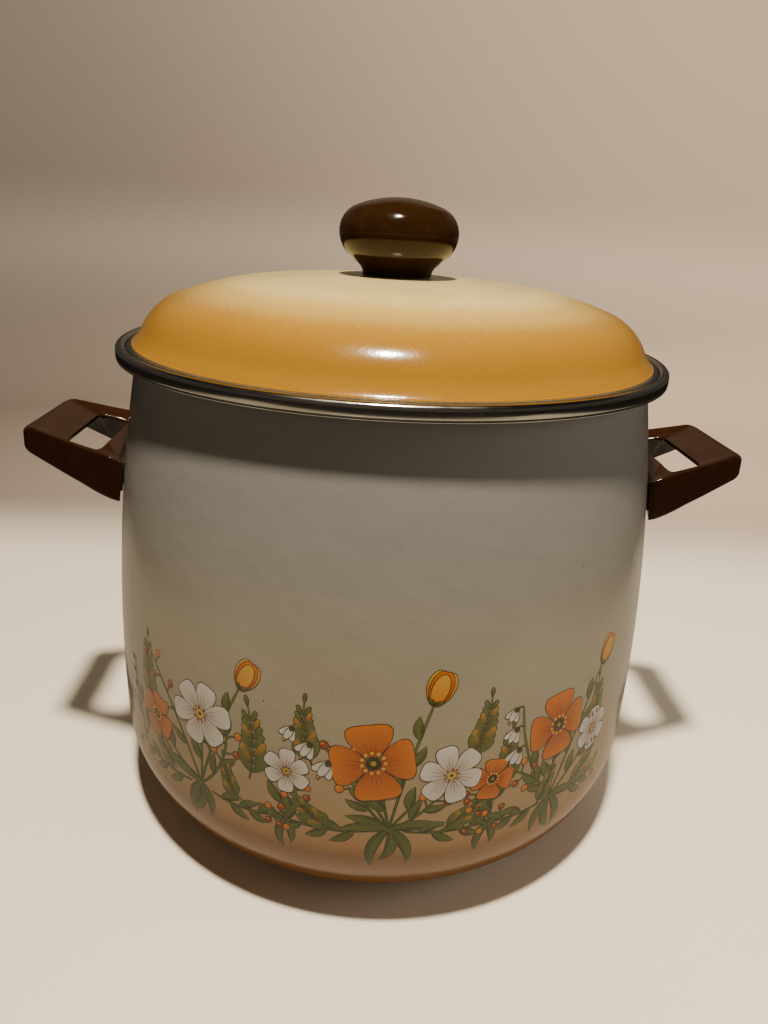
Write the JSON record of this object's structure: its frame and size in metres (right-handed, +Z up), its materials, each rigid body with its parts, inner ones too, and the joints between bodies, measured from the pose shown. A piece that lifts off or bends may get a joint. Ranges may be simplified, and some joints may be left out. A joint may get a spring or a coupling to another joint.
{
  "type": "enamelled stockpot with lid",
  "caption": "Tall enamelled steel stockpot with a bellied wall, domed lid with a round moulded knob, rolled steel rim and moulded loop handles.",
  "frame": {"origin": "centre of the base's underside, on the surface that the pot stands on", "axes": "+Z up the pot's axis, +X through the right handle, -Y towards the front"},
  "size_m": [0.3474, 0.2728, 0.3031],
  "materials": {
    "pot_enamel": "glossy vitreous enamel, cream fading to warm tan at the base",
    "lid_enamel": "glossy vitreous enamel, cream fading to amber at the hem",
    "polished_steel": "polished stainless steel with fine scratches",
    "phenolic": "glossy dark brown moulding",
    "plain_steel": "plain drawn steel",
    "zinc_steel": "zinc-plated",
    "brass": "turned",
    "gasket": "matt pressed fibre"
  },
  "bodies": {
    "pot": {"pot_shell": "pot_enamel", "pot_rim_band": "polished_steel", "left_handle_bracket": "plain_steel", "right_handle_bracket": "plain_steel", "left_handle": "phenolic", "right_handle": "phenolic", "left_handle_washers": "zinc_steel", "right_handle_washers": "zinc_steel", "left_handle_screws": "zinc_steel", "right_handle_screws": "zinc_steel"},
    "lid": {"lid_shell": "lid_enamel", "lid_rim_band": "polished_steel", "knob_gasket": "gasket", "knob": "phenolic", "knob_insert": "brass", "knob_washer": "zinc_steel", "knob_lock_washer": "zinc_steel", "knob_screw": "zinc_steel"}
  },
  "joints": [
    {"name": "lid_lift", "type": "slide", "parent": "pot", "child": "lid", "axis": [0, 0, 1], "range_m": [0, 0.25]}
  ]
}
